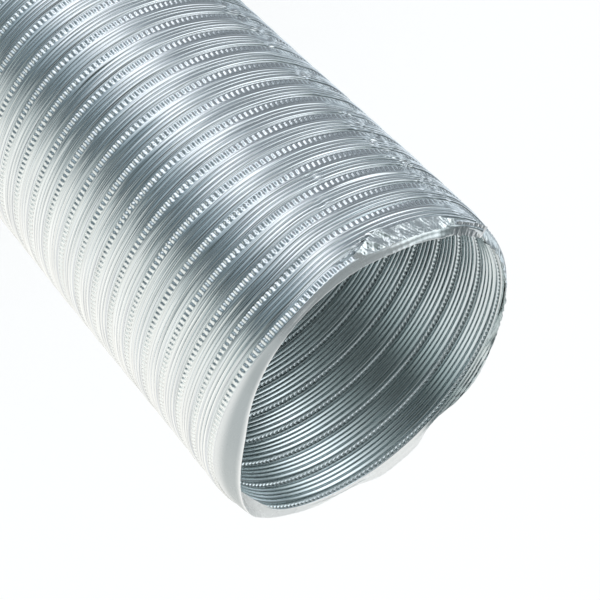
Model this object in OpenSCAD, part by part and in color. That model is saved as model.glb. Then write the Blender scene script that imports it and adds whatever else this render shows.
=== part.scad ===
// Flexible air duct: a thin aluminium strip wound into a tube, folded into fine pleats and
// locked to itself along a seam once in every turn. It stands on its lower rim with the air
// way along +Z. The origin is the centre of the lower rim. The duct is drawn closed up, as it
// is sold, with every fold against its neighbour.

/* [Duct] */
// Inside diameter, which slides over a spigot of this size
bore_d = 125; // [100:1:160]
// Turns of the wound strip between the two rims
turns = 28; // [4:1:28]

/* [Folds] */
// Height of a fold, from the bore to its crest
fold_h = 4.5; // [3.5:0.1:6]
// Distance from one fold to the next with the duct closed up
fold_pitch = 2.32; // [2:0.02:3]
// Plain folds in a turn, between one lock seam and the next
plain_folds = 4; // [2:1:6]
// Thickness of the folded sheet
sheet_t = 0.45; // [0.3:0.05:0.5]
// How far the pressed lock seam stays below the crests of the plain folds
seam_drop = 0.35; // [0:0.05:0.6]
// Gap between one turn and the next, where the wall opens when it is pulled or bent
turn_gap = 0.3; // [0.2:0.05:0.4]

/* [Rims] */
// Height over which the last flank of the wall leans in towards the rim
lean_h = 3.6; // [2:0.1:6]
// Length of the straight rim, which grips the spigot
rim_h = 2; // [1.5:0.1:6]

/* [Hidden] */
arc_fn = 64;
ring_fn = 180;
bore_r = bore_d / 2;
crest_r = bore_r + fold_h;
bend_out = fold_pitch / 4 + sheet_t / 2;
bend_in = fold_pitch / 4 - sheet_t / 2;
crest_c = crest_r - bend_out;
valley_c = bore_r + bend_out;
folds = plain_folds + 1;
turn_pitch = folds * fold_pitch;
hem_h = rim_h + lean_h + fold_pitch / 2;
duct_h = turns * turn_pitch + 2 * hem_h;

function turn_name(i) = str("turn_", i < 10 ? "0" : "", i);

// Half ring of sheet around the middle of a bend. side = 1 bulges away from the axis, -1 towards it.
module half_bend(side) {
    difference() {
        circle(r = bend_out, $fn = arc_fn);
        circle(r = bend_in, $fn = arc_fn);
        translate([side > 0 ? -fold_pitch : 0, -fold_pitch])
            square([fold_pitch, 2 * fold_pitch]);
    }
}

// One flank: the flat ring of sheet between a crest and a valley, seen in section.
module flank(z) {
    translate([valley_c, z - sheet_t / 2])
        square([crest_c - valley_c, sheet_t]);
}

// A plain fold around height z: two flanks and the round crest that joins them.
module plain_fold(z) {
    translate([crest_c, z])
        half_bend(1);
    flank(z - fold_pitch / 4);
    flank(z + fold_pitch / 4);
}

// The lock seam around height z: the hooked edges of two turns pressed flat into one thick fold.
module lock_seam(z) {
    translate([valley_c, z - bend_out])
        square([crest_c - seam_drop - valley_c, 2 * bend_out]);
    translate([crest_c - seam_drop, z])
        circle(r = bend_out, $fn = arc_fn);
}

// The round bottom between two folds, on the air side, around height z.
module valley(z) {
    translate([valley_c, z])
        half_bend(-1);
}

// What is kept of the two half valleys at a turn's ends, which leaves the gap between turns.
module turn_span() {
    translate([0, turn_gap / 2])
        square([crest_r + fold_h, turn_pitch - turn_gap]);
}

module turn_section() {
    intersection() {
        union() {
            lock_seam(fold_pitch / 2);
            for (k = [1:plain_folds])
                plain_fold((k + 0.5) * fold_pitch);
            for (k = [0:folds])
                valley(k * fold_pitch);
        }
        turn_span();
    }
}

// One turn of the strip, with the lock seam at its lower edge.
module turn(i) {
    color("silver")
        translate([0, 0, hem_h + (i - 1) * turn_pitch])
            rotate_extrude($fn = ring_fn)
                turn_section();
}

// The end of the strip above a turn: half a valley, one flank, and a smooth band that leans in
// from the crest to the straight rim at the bore.
module hem_section() {
    intersection() {
        valley(0);
        square([crest_r, fold_pitch / 4 + sheet_t / 2]);
    }
    flank(fold_pitch / 4);
    intersection() {
        translate([crest_c, fold_pitch / 2])
            half_bend(1);
        square([crest_r, fold_pitch / 2]);
    }
    lean_z = fold_pitch / 2;
    rim_z = lean_z + lean_h;
    polygon([
        [crest_r - sheet_t, lean_z],
        [crest_r, lean_z],
        [bore_r + sheet_t, rim_z],
        [bore_r, rim_z]
    ]);
    translate([bore_r, rim_z])
        square([sheet_t, rim_h]);
}

module upper_hem() {
    color("gainsboro")
        translate([0, 0, duct_h - hem_h])
            rotate_extrude($fn = ring_fn)
                hem_section();
}

module lower_hem() {
    color("gainsboro")
        translate([0, 0, hem_h])
            mirror([0, 0, 1])
                rotate_extrude($fn = ring_fn)
                    hem_section();
}

lower_hem();
for (i = [1:turns])
    turn(i);
upper_hem();
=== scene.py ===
"""Flexible air duct, closed up: one aluminium strip, folded fine, wound and locked to itself.

One knurl's width of the folded strip is modelled and wound on along the left-handed
helix. The wall is cut across where it opens, each length follows the two sections on either
side of it, and the bends and dents that handling leaves are pressed in. Lengths are in metres
and angles in radians, unless a docstring says otherwise.
"""

import logging
import math
from dataclasses import dataclass
from enum import Enum
from typing import Callable

import bpy
import numpy as np
from mathutils import Matrix, Vector


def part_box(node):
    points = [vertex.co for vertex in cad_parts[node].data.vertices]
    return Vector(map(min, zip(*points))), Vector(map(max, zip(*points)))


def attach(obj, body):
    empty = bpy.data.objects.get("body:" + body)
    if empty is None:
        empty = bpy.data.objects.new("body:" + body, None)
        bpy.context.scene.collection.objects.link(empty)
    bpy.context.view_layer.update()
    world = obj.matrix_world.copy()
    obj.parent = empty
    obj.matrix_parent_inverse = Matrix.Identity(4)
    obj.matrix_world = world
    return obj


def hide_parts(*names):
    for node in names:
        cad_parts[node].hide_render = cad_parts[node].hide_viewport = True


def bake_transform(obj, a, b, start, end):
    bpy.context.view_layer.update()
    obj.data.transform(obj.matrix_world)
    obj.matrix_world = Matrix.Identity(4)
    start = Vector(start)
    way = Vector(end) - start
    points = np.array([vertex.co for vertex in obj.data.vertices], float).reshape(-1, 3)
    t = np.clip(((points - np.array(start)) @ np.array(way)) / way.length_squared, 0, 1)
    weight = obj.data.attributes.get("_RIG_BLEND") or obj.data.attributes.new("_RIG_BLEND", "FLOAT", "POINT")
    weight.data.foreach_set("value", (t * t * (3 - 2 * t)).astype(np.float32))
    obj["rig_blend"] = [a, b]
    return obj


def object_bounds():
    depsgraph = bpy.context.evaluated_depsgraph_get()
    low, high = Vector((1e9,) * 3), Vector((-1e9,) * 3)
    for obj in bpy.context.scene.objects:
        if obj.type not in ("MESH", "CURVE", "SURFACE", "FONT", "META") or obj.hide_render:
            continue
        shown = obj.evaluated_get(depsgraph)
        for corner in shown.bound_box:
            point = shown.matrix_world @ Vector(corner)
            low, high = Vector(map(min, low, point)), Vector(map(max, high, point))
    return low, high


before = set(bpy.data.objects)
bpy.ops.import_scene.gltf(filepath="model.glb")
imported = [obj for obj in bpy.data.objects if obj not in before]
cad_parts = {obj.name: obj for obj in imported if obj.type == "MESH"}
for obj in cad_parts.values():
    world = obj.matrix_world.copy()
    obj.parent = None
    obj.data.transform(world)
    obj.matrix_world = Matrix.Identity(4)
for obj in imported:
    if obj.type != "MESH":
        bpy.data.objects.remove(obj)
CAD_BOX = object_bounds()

log = logging.getLogger("air_duct")

MM = 0.001
# Vertices nearer to each other than this are merged.
WELD = 4e-6
# Vertices nearer to a cut than this lie on it.
CUT_REACH = 1e-7
# Places nearer to each other than this are the same.
SAME_SPOT = 1e-8
# No row of a normal is shorter than this before it is scaled.
SHORTEST = 1e-12
# Edges of thin sheet that bend more than this stay sharp.
SHARP_EDGE = math.radians(24.0)

# Attributes of the vertices: the normals before handling, how far a length of wall follows the
# upper one of its two sections, the place on the unwound strip, and where the sheet is rubbed
# matt and how pale the painted light and shade on it are.
REST_NORMAL = "rest_normal"
BLEND_WEIGHT = "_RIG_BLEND"
STRIP_PLACE = "strip_place"
RUB_AND_PAINTED_LIGHT = "rub_and_painted_light"

Array = np.ndarray
Point = tuple[float, float]
Line = tuple[Point, ...]
Triple = tuple[float, float, float]


class Opening(Enum):
    """The two ways in which the folds open between one section and the next."""

    STRETCH = "stretch"
    BEND = "bend"


class Side(Enum):
    """Which way a surface of the strip looks."""

    OUTSIDE = 1
    INSIDE = -1


class Slot(Enum):
    """The two looks that the strip's pieces share."""

    WALL = "folded_wall"
    RIM = "plain_rim"


# ---------------------------------------------------------------- modelling by hand


def deselect_all() -> None:
    """Leaves edit mode, deselects every object and picks vertices from here on."""
    if bpy.context.object is not None and bpy.context.object.mode != "OBJECT":
        bpy.ops.object.mode_set(mode="OBJECT")
    bpy.ops.object.select_all(action="DESELECT")
    bpy.context.tool_settings.mesh_select_mode = (True, False, False)


def pick(*objects: bpy.types.Object) -> None:
    """Selects objects and makes the first one active.

    Args:
        objects: the objects to select, the active one first.
    """
    deselect_all()
    for obj in objects:
        obj.select_set(True)
    bpy.context.view_layer.objects.active = objects[0]


def edit(obj: bpy.types.Object, rule: Callable[[Vector], bool] | None = None) -> None:
    """Opens a mesh in edit mode with the vertices that a rule accepts selected.

    Args:
        obj: the mesh object.
        rule: says of a vertex's place whether it is selected; None selects all.
    """
    pick(obj)
    mesh = obj.data
    chosen = [rule is None or rule(vertex.co) for vertex in mesh.vertices]
    mesh.edges.foreach_set("select", [False] * len(mesh.edges))
    mesh.polygons.foreach_set("select", [False] * len(mesh.polygons))
    mesh.vertices.foreach_set("select", chosen)
    bpy.ops.object.mode_set(mode="EDIT")


def close_edit() -> None:
    """Leaves edit mode."""
    bpy.ops.object.mode_set(mode="OBJECT")


def apply_modifier(obj: bpy.types.Object, modifier: bpy.types.Modifier) -> None:
    """Applies a modifier to its object."""
    pick(obj)
    bpy.ops.object.modifier_apply(modifier=modifier.name)


def draw_wire(name: str, points: list[Point]) -> bpy.types.Object:
    """Draws a section line in the XZ plane, by extruding one vertex from point to point.

    Args:
        name: the object's name.
        points: radius and height of each point.

    Returns:
        The wire's object, at the origin.
    """
    deselect_all()
    bpy.ops.mesh.primitive_plane_add(size=MM, enter_editmode=True)
    bpy.context.object.name = name
    bpy.ops.mesh.merge(type="CENTER")
    bpy.ops.transform.translate(value=(points[0][0], 0.0, points[0][1]))
    for (r_0, z_0), (r_1, z_1) in zip(points, points[1:]):
        step = {"value": (r_1 - r_0, 0.0, z_1 - z_0)}
        bpy.ops.mesh.extrude_region_move(TRANSFORM_OT_translate=step)
    close_edit()
    return bpy.context.object


def wind(wire: bpy.types.Object, angle: float, drop: float, steps: int) -> None:
    """Winds a section line about the duct's axis, falling as it goes.

    Args:
        wire: the line's object, which becomes the wound sheet.
        angle: how far it is wound.
        drop: how far it falls over that angle.
        steps: how many faces that angle takes.
    """
    screw = wire.modifiers.new("wind", "SCREW")
    screw.axis = "Z"
    screw.angle = angle
    screw.screw_offset = -drop
    screw.steps = screw.render_steps = steps
    screw.use_merge_vertices = False
    apply_modifier(wire, screw)


def weld(*objects: bpy.types.Object) -> bpy.types.Object:
    """Joins objects into the first one and merges the vertices where they meet.

    Args:
        objects: the mesh objects to join.

    Returns:
        The first object, which now holds them all.
    """
    pick(*objects)
    if len(objects) > 1:
        bpy.ops.object.join()
    edit(objects[0])
    bpy.ops.mesh.remove_doubles(threshold=WELD)
    close_edit()
    return objects[0]


def copy_of(obj: bpy.types.Object, name: str) -> bpy.types.Object:
    """Copies an object with a mesh of its own.

    Args:
        obj: the object to copy.
        name: the copy's name.

    Returns:
        The copy, linked to the scene.
    """
    twin = obj.copy()
    twin.data = obj.data.copy()
    twin.name = twin.data.name = name
    bpy.context.collection.objects.link(twin)
    return twin


def remove(*objects: bpy.types.Object) -> None:
    """Deletes objects and their meshes.

    Args:
        objects: the mesh objects to delete.
    """
    for obj in objects:
        mesh = obj.data
        bpy.data.objects.remove(obj)
        bpy.data.meshes.remove(mesh)


def cut(obj: bpy.types.Object, height: float, keep: int) -> None:
    """Cuts a mesh across at a height and closes the cut.

    Args:
        obj: the mesh object.
        height: the height of the cut.
        keep: 1 keeps what is above it, -1 what is below it.
    """
    edit(obj)
    bpy.ops.mesh.bisect(
        plane_co=(0.0, 0.0, height),
        plane_no=(0.0, 0.0, 1.0),
        use_fill=True,
        clear_inner=keep > 0,
        clear_outer=keep < 0,
        threshold=CUT_REACH,
    )
    close_edit()


def places(mesh: bpy.types.Mesh) -> Array:
    """Reads the places of a mesh's vertices.

    Args:
        mesh: the mesh.

    Returns:
        Rows of x, y, z.
    """
    flat = np.empty(3 * len(mesh.vertices), np.float32)
    mesh.vertices.foreach_get("co", flat)
    return flat.reshape(-1, 3).astype(float)


def move_to(mesh: bpy.types.Mesh, rows: Array) -> None:
    """Puts a mesh's vertices at rows of x, y, z."""
    mesh.vertices.foreach_set("co", rows.astype(np.float32).ravel())


def mark(mesh: bpy.types.Mesh, name: str, *parts: Array) -> None:
    """Stores a vector of its own for each vertex of a mesh.

    Args:
        mesh: the mesh.
        name: the attribute's name.
        parts: the vectors' three parts, each with a value for every vertex.
    """
    vectors = mesh.attributes.new(name, "FLOAT_VECTOR", "POINT").data
    vectors.foreach_set("vector", np.stack(parts, axis=1).astype(np.float32).ravel())


def ride_on(obj: bpy.types.Object, section: str) -> None:
    """Lets a finished piece ride on a section.

    Args:
        obj: the piece.
        section: the section's name.
    """
    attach(obj, section)


# ---------------------------------------------------------------- numbers and waves


def unit(rows: Array) -> Array:
    """Scales rows to length 1."""
    return rows / np.maximum(np.linalg.norm(rows, axis=1, keepdims=True), SHORTEST)


def smooth(x: Array) -> Array:
    """Ramps smoothly from 0 at x = 0 to 1 at x = 1."""
    x = np.clip(x, 0.0, 1.0)
    return x * x * (3.0 - 2.0 * x)


def sideways(angle: Array, middle: float) -> Array:
    """Angles measured from a middle one, between minus and plus half a turn."""
    return np.mod(angle - middle + math.pi, math.tau) - math.pi


@dataclass(frozen=True)
class Window:
    """A range that is entered over a smooth rise and left over a smooth fall."""

    start: float = -math.inf
    rise: float = 1.0
    end: float = math.inf
    fall: float = 1.0

    def __call__(self, x: Array) -> Array:
        """How far values are inside the range, from 0 to 1."""
        return smooth((x - self.start) / self.rise) * smooth((self.end - x) / self.fall)


@dataclass(frozen=True)
class Ripple:
    """Seeded waves along one coordinate, which never repeat over the duct."""

    seed: int
    count: int
    lowest: float
    highest: float
    track_step: float = 7.3
    peak: float = 1.6

    def __call__(self, along: Array, track: Array | float = 0.0) -> Array:
        """Sums the waves.

        Args:
            along: the coordinate that the waves run along.
            track: which track of waves is read; each whole number gives other waves.

        Returns:
            Values between about -1 and 1.
        """
        draw = np.random.default_rng(self.seed)
        total = np.zeros(np.shape(along))
        for _ in range(self.count):
            rate = draw.uniform(self.lowest, self.highest)
            phase, per_track = draw.uniform(0.0, math.tau, 2)
            total = total + np.cos(rate * along + phase + per_track * self.track_step * track)
        return total * math.sqrt(2.0 / self.count) / self.peak


@dataclass(frozen=True)
class Facets:
    """Sharp creases with flat facets between them, from crossing folds of a sheet.

    The creases lean by up to `lean` either way and lie `shortest` to `longest` millimetres apart.
    """

    seed: int
    count: int = 5
    lean: float = 0.9
    shortest: float = 2.6
    longest: float = 8.0
    up_rate: float = 1.6
    peak: float = 2.6

    def __call__(self, along: Array, up: Array | float = 0.0) -> Array:
        """Sums the creases.

        Args:
            along: millimetres along the sheet.
            up: millimetres up the sheet.

        Returns:
            Values between about -1 and 1.
        """
        draw = np.random.default_rng(self.seed)
        total = np.zeros(np.shape(along))
        for _ in range(self.count):
            way = draw.uniform(-self.lean, self.lean)
            length = draw.uniform(self.shortest, self.longest)
            turn = (along * math.cos(way) + up * math.sin(way) * self.up_rate) / length + draw.uniform()
            total += np.abs(np.mod(turn, 1.0) * 2.0 - 1.0) * 2.0 - 1.0
        return total / self.peak


# ---------------------------------------------------------------- the folded strip


@dataclass(frozen=True)
class Strip:
    """The wound strip: its radii, its helix and the knurls along its seam."""

    bore_r: float
    crest_r: float
    turn_pitch: float
    wall_z: float
    duct_h: float
    turns: int
    knurls: int = 192
    tip_angle: float = math.radians(-160.0)
    tip_over_h: float = 2.5 * MM
    mouth_below: float = 2.8 * MM

    @classmethod
    def from_frame(cls, fold_h: float = 4.5 * MM) -> "Strip":
        """Reads the strip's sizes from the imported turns.

        Args:
            fold_h: height of a fold, from the bore to its crest.

        Returns:
            The strip.
        """
        low_1, high_1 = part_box("turn_01")
        low_2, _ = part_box("turn_02")
        crest_r = round(high_1.x, 6)
        half_gap = (low_2.z - high_1.z) / 2
        return cls(
            bore_r=crest_r - fold_h,
            crest_r=crest_r,
            turn_pitch=round(low_2.z - low_1.z, 6),
            wall_z=round(low_1.z - half_gap, 6),
            duct_h=round(CAD_BOX[1].z, 6),
            turns=sum(name.startswith("turn_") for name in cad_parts),
        )

    @property
    def knurl_angle(self) -> float:
        """Angle of one knurl."""
        return math.tau / self.knurls

    @property
    def knurl_drop(self) -> float:
        """How far the helix falls over one knurl."""
        return self.turn_pitch / self.knurls

    @property
    def mouth_z(self) -> float:
        """Height of the upper mouth's middle, which the plain band's edge is measured from."""
        return self.duct_h - self.mouth_below

    @property
    def tip_z(self) -> float:
        """Height of the seam's middle at the strip's end, at the upper mouth."""
        return self.duct_h + self.tip_over_h

    @property
    def top_section(self) -> str:
        """Name of the section at the upper mouth."""
        return f"section_{self.turns:02d}"

    def boundary(self, number: int) -> float:
        """Height of the boundary between a section and the next, counted from 1."""
        return self.wall_z + number * self.turn_pitch

    def fold_share(self, r: Array) -> Array:
        """Shares of a fold's height at radii, from 0 at the bore to 1 at the crests."""
        return np.clip((r - self.bore_r) / (self.crest_r - self.bore_r), 0.0, 1.0)

    def ahead(self, angle: Array) -> Array:
        """Shares of a turn from the strip's end round to angles."""
        return np.mod(angle - self.tip_angle, math.tau) / math.tau

    def turns_below_tip(self, angle: Array, z: Array) -> Array:
        """Counts how many turns of the strip lie between places and the strip's end.

        Args:
            angle: angles about the axis.
            z: heights.

        Returns:
            The counts: whole numbers on the seam's middle, growing downwards.
        """
        return (self.tip_z - z) / self.turn_pitch - self.ahead(angle)


@dataclass(frozen=True)
class FoldSection:
    """The strip's section over one turn, in millimetres.

    Each point is a depth and a distance below the seam's middle. Depths outside are taken from
    the crests inwards, those on the air side from the bore outwards.
    """

    strip: Strip
    seam_outer: Line = (
        (0.70, -2.05), (0.64, -1.75), (0.48, -1.10), (0.30, -0.45),
        (0.14, 0.15), (0.12, 0.46), (0.60, 0.66),
    )
    hook_outer: Line = (
        (2.30, 0.82), (2.30, 1.02), (0.62, 1.18), (0.42, 1.34), (0.42, 1.60),
        (0.60, 1.82), (1.25, 2.00), (0.50, 2.14), (0.18, 2.32), (0.04, 2.62),
        (0.00, 2.95), (0.06, 3.28), (0.22, 3.48), (0.62, 3.60), (3.60, 3.75),
    )
    fold_outer: Line = (
        (0.60, -0.72), (0.20, -0.60), (0.05, -0.40), (0.00, 0.00),
        (0.05, 0.40), (0.20, 0.60), (0.60, 0.72), (3.60, 0.875),
    )
    fold_middles: tuple[float, ...] = (4.63, 6.38)
    shoulder_outer: Line = (
        (0.72, 7.38), (0.38, 7.52), (0.20, 7.80), (0.11, 8.15), (0.03, 8.52),
        (0.10, 8.76), (0.36, 8.92), (0.98, 9.07), (0.78, 9.24),
    )
    seam_inner: Line = ((0.50, -2.30), (0.62, -2.08), (0.64, -1.45), (0.62, -0.82), (0.50, -0.60))
    lip_inner: Line = (
        (0.47, -0.50), (0.45, -0.30), (0.52, -0.06), (1.40, 0.10), (1.80, 0.32),
        (1.50, 0.54), (0.62, 0.68), (0.38, 1.02), (0.17, 1.36), (0.03, 1.62),
        (0.00, 1.76), (0.08, 1.98), (0.42, 2.20), (1.50, 2.28), (2.00, 2.55),
    )
    ridge_inner: Line = (
        (1.50, -0.88), (0.60, -0.82), (0.38, -0.50), (0.17, -0.16), (0.03, 0.12),
        (0.00, 0.28), (0.08, 0.50), (0.42, 0.68), (1.50, 0.76), (2.00, 0.885),
    )
    ridge_middles: tuple[float, ...] = (3.68, 5.55, 7.42)
    end_inner: Line = ((1.50, 8.54), (0.50, 8.66), (0.32, 8.88), (0.46, 9.06))
    grooves: tuple[float, ...] = (-2.53, 0.93, 2.00, 3.75, 5.50, 7.25, 9.07)

    def outside(self, line: Line, down: float = 0.0) -> list[Point]:
        """Turns points outside into radii and heights, shifted down by some millimetres."""
        return [(self.strip.crest_r - depth * MM, -(below + down) * MM) for depth, below in line]

    def inside(self, line: Line, down: float = 0.0) -> list[Point]:
        """Turns points on the air side into radii and heights, shifted down."""
        return [(self.strip.bore_r + depth * MM, -(below + down) * MM) for depth, below in line]

    def folds_outside(self) -> list[Point]:
        """Lines up the plain folds outside.

        Returns:
            The line from the seam's lower edge to the next seam's upper one.
        """
        line = self.outside(self.seam_outer[-1:]) + self.outside(self.hook_outer)
        for middle in self.fold_middles:
            line += self.outside(self.fold_outer, middle)
        line += self.outside(self.shoulder_outer)
        return line + [self.next_turn(self.outside(self.seam_outer[:1])[0])]

    def folds_inside(self) -> list[Point]:
        """Lines up the ridges on the air side.

        Returns:
            The line from the seam's lower edge to the next seam's upper one.
        """
        line = self.inside(self.seam_inner[-1:]) + self.inside(self.lip_inner)
        for middle in self.ridge_middles:
            line += self.inside(self.ridge_inner, middle)
        line += self.inside(self.end_inner)
        return line + [self.next_turn(self.inside(self.seam_inner[:1])[0])]

    def upper_edge(self) -> list[Point]:
        """The strip's own edge at the mouth, from its outside to its inside."""
        outer, inner = self.outside(self.seam_outer[:1])[0], self.inside(self.seam_inner[:1])[0]
        return [outer, ((outer[0] + inner[0]) / 2, (outer[1] + inner[1]) / 2), inner]

    def next_turn(self, point: Point) -> Point:
        """The same point of the section one turn further down."""
        return point[0], point[1] - self.strip.turn_pitch


@dataclass(frozen=True)
class Knurling:
    """The shape of one knurl across the seam.

    Each column is a share of the knurl's width and how far it is pressed in, in millimetres;
    each row scales that depth at one point of the seam's section.
    """

    columns: Line
    rows: tuple[float, ...]


@dataclass(frozen=True)
class KnurlCell:
    """One knurl's width of the strip, with the pad and the notch on its seam."""

    section: FoldSection
    outer: Knurling = Knurling(
        columns=((0.0, 0.36), (0.15, 0.12), (0.60, 0.0), (0.76, 0.42), (1.0, 0.36)),
        rows=(0.0, 0.60, 0.85, 1.0, 1.15, 1.0, 0.0),
    )
    inner: Knurling = Knurling(
        columns=((0.0, 0.0), (0.22, 0.0), (0.36, 1.20), (0.84, 1.15), (1.0, 0.0)),
        rows=(0.0, 0.92, 1.0, 0.92, 0.0),
    )

    def build(self) -> bpy.types.Object:
        """Models the cell.

        Returns:
            The cell, its first side on the XZ plane and its seam's middle at height 0.
        """
        section = self.section
        outer = self._knurled("outer_seam", section.outside(section.seam_outer), self.outer, Side.OUTSIDE)
        inner = self._knurled("inner_seam", section.inside(section.seam_inner), self.inner, Side.INSIDE)
        folds = self._patch("outer_folds", section.folds_outside(), 1, Side.OUTSIDE)
        ridges = self._patch("inner_folds", section.folds_inside(), 1, Side.INSIDE)
        return weld(outer, inner, folds, ridges)

    def edge(self) -> bpy.types.Object:
        """Models the strip's own edge over one knurl, which shows at the mouth."""
        return self._patch("strip_edge", self.section.upper_edge(), 1, None)

    def _patch(self, name: str, line: list[Point], steps: int, side: Side | None) -> bpy.types.Object:
        """Winds a section line on by one knurl.

        Args:
            name: the object's name.
            line: the section line.
            steps: how many faces the knurl's width takes.
            side: the way the faces look; None for up.

        Returns:
            The patch.
        """
        strip = self.section.strip
        patch = draw_wire(name, line)
        wind(patch, strip.knurl_angle, strip.knurl_drop, steps)
        widest = max(patch.data.polygons, key=lambda face: abs(face.normal.x if side else face.normal.z))
        facing = widest.normal.x * side.value if side else widest.normal.z
        if facing < 0:
            edit(patch)
            bpy.ops.mesh.flip_normals()
            close_edit()
        return patch

    def _knurled(self, name: str, line: list[Point], knurl: Knurling, side: Side) -> bpy.types.Object:
        """Winds a seam line on by one knurl and presses the notch into it.

        Args:
            name: the object's name.
            line: the seam's section line.
            knurl: the knurl's shape.
            side: the way the seam looks.

        Returns:
            The patch, whose upper and lower edges are single edges.
        """
        strip = self.section.strip
        steps = len(knurl.columns) - 1
        edges = (0, len(line) - 1)
        patch = self._patch(name, line, steps, side)
        cells = {}
        for vertex in patch.data.vertices:
            column = round(math.atan2(vertex.co.y, vertex.co.x) / strip.knurl_angle * steps)
            height = vertex.co.z + column * strip.knurl_drop / steps
            cells[column, min(range(len(line)), key=lambda i: abs(line[i][1] - height))] = vertex
        for (column, row), vertex in cells.items():
            share, depth = knurl.columns[column]
            if row in edges:
                continue
            r = line[row][0] - side.value * depth * knurl.rows[row] * MM
            angle = share * strip.knurl_angle
            height = line[row][1] - share * strip.knurl_drop
            vertex.co = (r * math.cos(angle), r * math.sin(angle), height)
        self._dissolve(patch, [cells[column, row].co.copy() for column in range(1, steps) for row in edges])
        return patch

    @staticmethod
    def _dissolve(patch: bpy.types.Object, spots: list[Vector]) -> None:
        """Takes the vertices at some spots off a patch's edge and keeps its faces.

        Args:
            patch: the patch.
            spots: the places of the vertices.
        """
        edit(patch, lambda place: any((place - spot).length < SAME_SPOT for spot in spots))
        bpy.ops.mesh.dissolve_verts()
        close_edit()


# ---------------------------------------------------------------- what handling leaves


@dataclass(frozen=True)
class Dent:
    """A place where the wall was pushed in: its angle in degrees, all else in millimetres."""

    angle: float
    z: float
    depth: float
    wide: float
    high: float

    def push(self, angle: Array, z: Array, r: float) -> Array:
        """How far the dent pushes places in.

        Args:
            angle: the places' angles.
            z: their heights.
            r: the radius that the dent's width is measured at.

        Returns:
            The depths.
        """
        across = sideways(angle, math.radians(self.angle)) * r / (self.wide * MM)
        return self.depth * MM * np.exp(-(across**2 + ((z - self.z * MM) / (self.high * MM)) ** 2))


@dataclass(frozen=True)
class Crease:
    """A long crease from lying in a bag, which flattens the seam and pushes the crests in."""

    middle: float = math.radians(-153.0)
    wide: float = math.radians(7.0)
    depth: float = 0.35 * MM
    seam_drop: float = 0.45 * MM
    seam_flat: float = 0.85
    crumple_depth: float = 0.22 * MM
    slants: Point = (0.5, -0.6)
    crumple: Ripple = Ripple(seed=14, count=6, lowest=900.0, highest=3000.0)

    def push(self, strip: Strip, angle: Array, z: Array, r: Array, seam: Array) -> Array:
        """How far the crease moves places, outwards positive.

        Args:
            strip: the strip that is creased.
            angle: the places' angles.
            z: their heights.
            r: their radii.
            seam: which of them are on the knurled seam.

        Returns:
            The moves.
        """
        window = np.exp(-((sideways(angle, self.middle) / self.wide) ** 4))
        around = angle * strip.crest_r
        up_slant, down_slant = around + self.slants[0] * z, z + self.slants[1] * around
        small = self.crumple(up_slant, 0.0) * self.crumple(down_slant, 1.0)
        flat = (strip.crest_r - self.seam_drop - r) * seam
        return window * (self.seam_flat * flat - self.depth * (1.0 - seam) + self.crumple_depth * small)


@dataclass(frozen=True)
class Squeeze:
    """The folds behind the mouth's near side, pressed down on each other.

    It starts a few turns below the strip's end and fades over some turns; by the strip's end it
    goes deeper, between two angles in degrees.
    """

    depth: float = 3.3 * MM
    fade_turns: float = 1.18
    from_turn: float = 1.2
    past: float = -0.2
    near_side: Window = Window(end=0.45, fall=0.8)
    tip_depth: float = 2.1 * MM
    tip_turns: float = 2.6
    tip_angles: Window = Window(-178.0, 22.0, -84.0, 24.0)

    def lift(self, strip: Strip, angle: Array, z: Array) -> Array:
        """How far places move up, which is below 0.

        Args:
            strip: the strip that is squeezed.
            angle: the places' angles.
            z: their heights.

        Returns:
            The moves.
        """
        first_row = strip.tip_z - self.from_turn * strip.turn_pitch
        turns = np.maximum((first_row - z) / strip.turn_pitch, self.past)
        by_tip = self.tip_angles(np.degrees(angle))
        by_tip = by_tip * np.exp(-((np.maximum(turns, 0.0) / self.tip_turns) ** 2))
        near = self.near_side(np.sin(angle))
        return -self.depth * np.exp(-turns / self.fade_turns) * near - self.tip_depth * by_tip


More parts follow.
